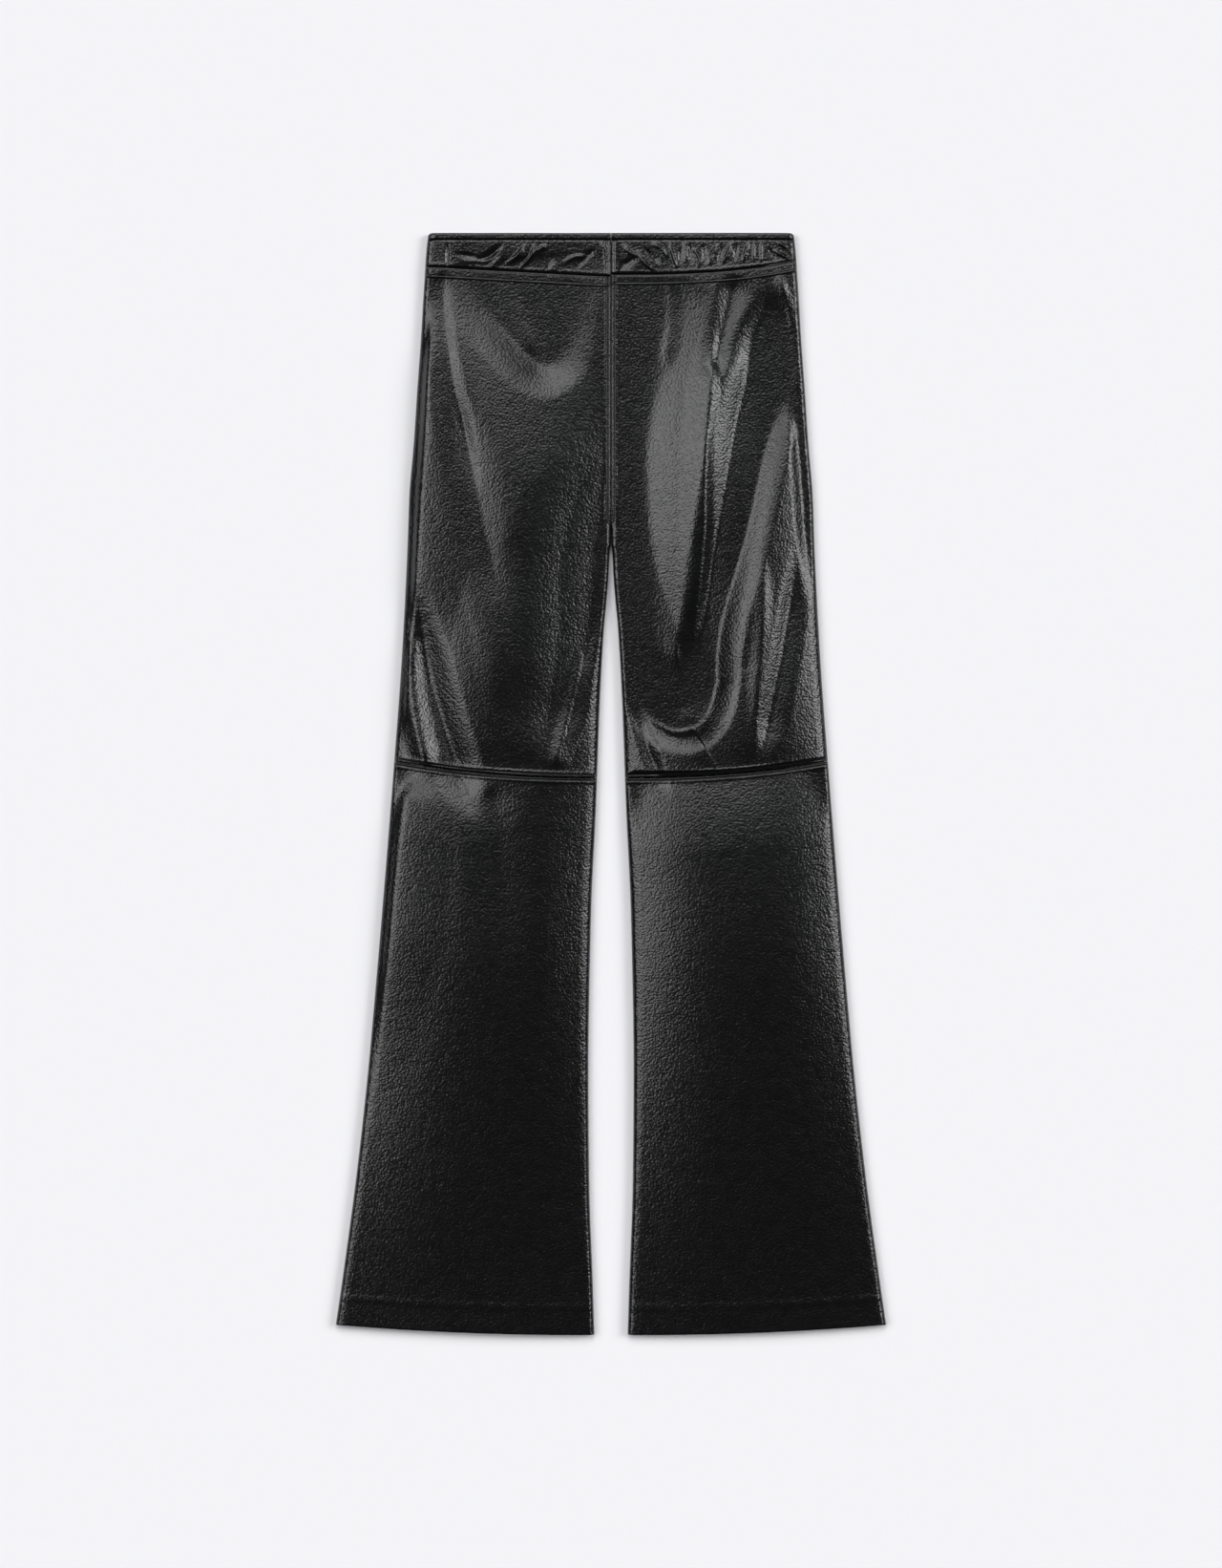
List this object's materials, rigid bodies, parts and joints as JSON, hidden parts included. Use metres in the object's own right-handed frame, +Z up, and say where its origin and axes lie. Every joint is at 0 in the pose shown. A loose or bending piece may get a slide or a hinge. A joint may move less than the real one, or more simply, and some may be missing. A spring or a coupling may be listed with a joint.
{
  "type": "leather trousers",
  "caption": "Flared leather trousers laid flat with the back uppermost: straight waistband with a bound top edge, seamed knees and open flared hems.",
  "frame": {"origin": "the middle of the garment's outline, on the surface that it lies on", "axes": "+Y from the hems to the waist, +Z up away from the surface, +X to the right of someone looking down with the waist at the top"},
  "size_m": [0.525, 1.05, 0.026],
  "materials": {
    "leather": "black grained nappa with a soft sheen",
    "thread": "black twisted sewing thread"
  },
  "bodies": {
    "root": {"back_edge_binding_left": "leather", "back_waistband_left": "leather", "back_thigh_left": "leather", "back_calf_left": "leather", "back_edge_binding_right": "leather", "back_waistband_right": "leather", "back_thigh_right": "leather", "back_calf_right": "leather", "front_edge_binding_left": "leather", "front_waistband_left": "leather", "front_thigh_left": "leather", "front_calf_left": "leather", "front_edge_binding_right": "leather", "front_waistband_right": "leather", "front_thigh_right": "leather", "front_calf_right": "leather"}
  },
  "joints": []
}
